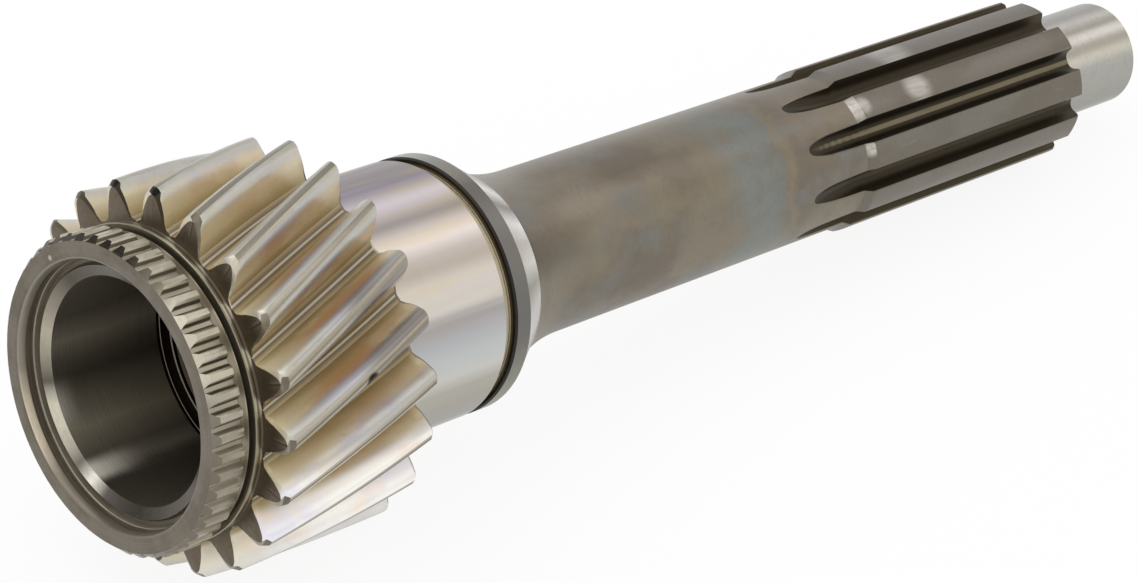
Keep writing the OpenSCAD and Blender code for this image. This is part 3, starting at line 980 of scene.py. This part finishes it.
# floor: pale, with the shaft's shadow, and nearly white to the eye and in the metal
floorLook = dict(half=3.0, colour=(0.95, 0.95, 0.95, 1), rough=0.9, white=0.9)
floorShape = bmesh.new()
bmesh.ops.create_grid(floorShape, x_segments=1, y_segments=1, size=floorLook["half"])
floor = addMesh("studio_floor", floorShape)
floorMaterial = bpy.data.materials.new("paleFloor")
floorMaterial.use_nodes = True
floor.data.materials.append(floorMaterial)
floorNodes = Nodes(floorMaterial.node_tree)
matt = floorNodes.tree.nodes["Principled BSDF"]
matt.inputs["Base Color"].default_value = floorLook["colour"]
matt.inputs["Roughness"].default_value = floorLook["rough"]
matt.inputs["Specular IOR Level"].default_value = 0
path = "LightPath"
seenBy = floorNodes.add(path, out="Is Camera Ray") + floorNodes.add(path, out="Is Glossy Ray")
seenBy = seenBy + floorNodes.add(path, out="Is Transmission Ray")
glow = floorNodes.add("Emission", {}, {"Color": (1, 1, 1, 1), "Strength": 1})
shown = floorNodes.add("MixShader", {}, {
    0: seenBy * floorLook["white"], 1: Value(floorNodes.tree, matt.outputs[0]), 2: glow})
feed(floorNodes.tree, floorNodes.tree.nodes["Material Output"].inputs["Surface"], shown)
print("floor laid")

# world: white to the eye, and round the shaft a studio of soft strips that lie along it
world = bpy.data.worlds.new("studio")
world.use_nodes = True
scene.world = world
# degrees round the shaft, as on the shaft itself, then the strip's level and tint
white = 1, 1, 1
studioStrips = [
    (-180, 0.92, white), (-105, 0.92, white), (-76, 0.96, white), (-52, 0.62, (0.97, 0.95, 1)),
    (-41, 0.8, (0.98, 0.97, 1)), (-29, 1.12, white), (-17, 0.86, (1, 0.98, 0.96)),
    (-6, 0.5, (1, 0.97, 0.94)), (7, 1.1, (1, 0.97, 0.98)), (18, 1.4, (1, 0.97, 1)),
    (31, 0.9, (1, 0.96, 0.94)), (43, 0.78, (1, 0.95, 0.89)), (55, 1.08, (1, 0.99, 0.94)),
    (67, 1.08, (1, 0.99, 0.96)), (79, 0.98, white), (91, 0.6, white), (120, 0.92, white),
    (180, 0.92, white),
]
# soft light on the shaft: its level low and high in the sky, and the heights between which it grows
skyLook = dict(low=0.8, high=1, heights=(0.25, 0.9))
brightest = max(level for degrees, level, tint in studioStrips)
stripStops = [(degrees / 360 + 0.5, (*(level / brightest * part for part in tint), 1))
              for degrees, level, tint in studioStrips]
studio = Nodes(world.node_tree)
way = studio.add("TexCoord", out="Generated")
wayAcross, wayUp = [studio.add("SeparateXYZ", {}, {"Vector": way}, out=letter) for letter in "YZ"]
overShaft = studio.add("VectorMath", dict(operation="DOT_PRODUCT"), {
    0: way, 1: (-axis.z, 0, axis.x)}, out="Value")
around = wayAcross.calc("ARCTAN2", 0 - wayAcross, overShaft) * (0.5 / math.pi) + 0.5
strips = studio.add("ValToRGB", dict(stops=stripStops), {0: around})
toEye = studio.add(path, out="Is Camera Ray")
mirrored = studio.add(path, out="Is Glossy Ray") + studio.add(path, out="Is Transmission Ray")
sky = skyLook["low"] + (skyLook["high"] - skyLook["low"]) * studio.step(wayUp, *skyLook["heights"])
shade = studio.tree.nodes["Background"].inputs
feed(studio.tree, shade["Color"], studio.mix(mirrored, (255, 255, 255), strips))
feed(studio.tree, shade["Strength"], toEye + mirrored * brightest + (1 - toEye - mirrored) * sky)

keyLamp = dict(place=(-0.6, 0.5, 1.4), size=1.2, power=4)
light = bpy.data.lights.new("key", "AREA")
light.shape = "SQUARE"
light.size = keyLamp["size"]
light.energy = keyLamp["power"]
holder = addObject("key", light)
holder.location = keyLamp["place"]
holder.rotation_euler = (-Vector(keyLamp["place"])).to_track_quat("-Z", "Y").to_euler()
print("studio lit")

# camera at the photograph's viewing angle
cameraSet = dict(place=(-0.50190, -0.45404, 0.40178), aim=(-0.02907, 0, 0.01867), roll=2.51,
                 lens=111.571, sensor=36)
place = Vector(cameraSet["place"])
ahead = (Vector(cameraSet["aim"]) - place).normalized()
level = ahead.cross(Vector((0, 0, 1))).normalized()
upright = level.cross(ahead)
roll = math.radians(cameraSet["roll"])
right = level * math.cos(roll) + upright * math.sin(roll)
upward = upright * math.cos(roll) - level * math.sin(roll)
lens = bpy.data.cameras.new("photoView")
lens.lens = cameraSet["lens"]
lens.sensor_width = cameraSet["sensor"]
lens.sensor_fit = "HORIZONTAL"
view = addObject("photoView", lens)
view.matrix_world = Matrix.Translation(place) @ Matrix((right, upward, -ahead)).transposed().to_4x4()
scene.camera = view
scene.view_settings.view_transform = "Standard"
print("camera set")
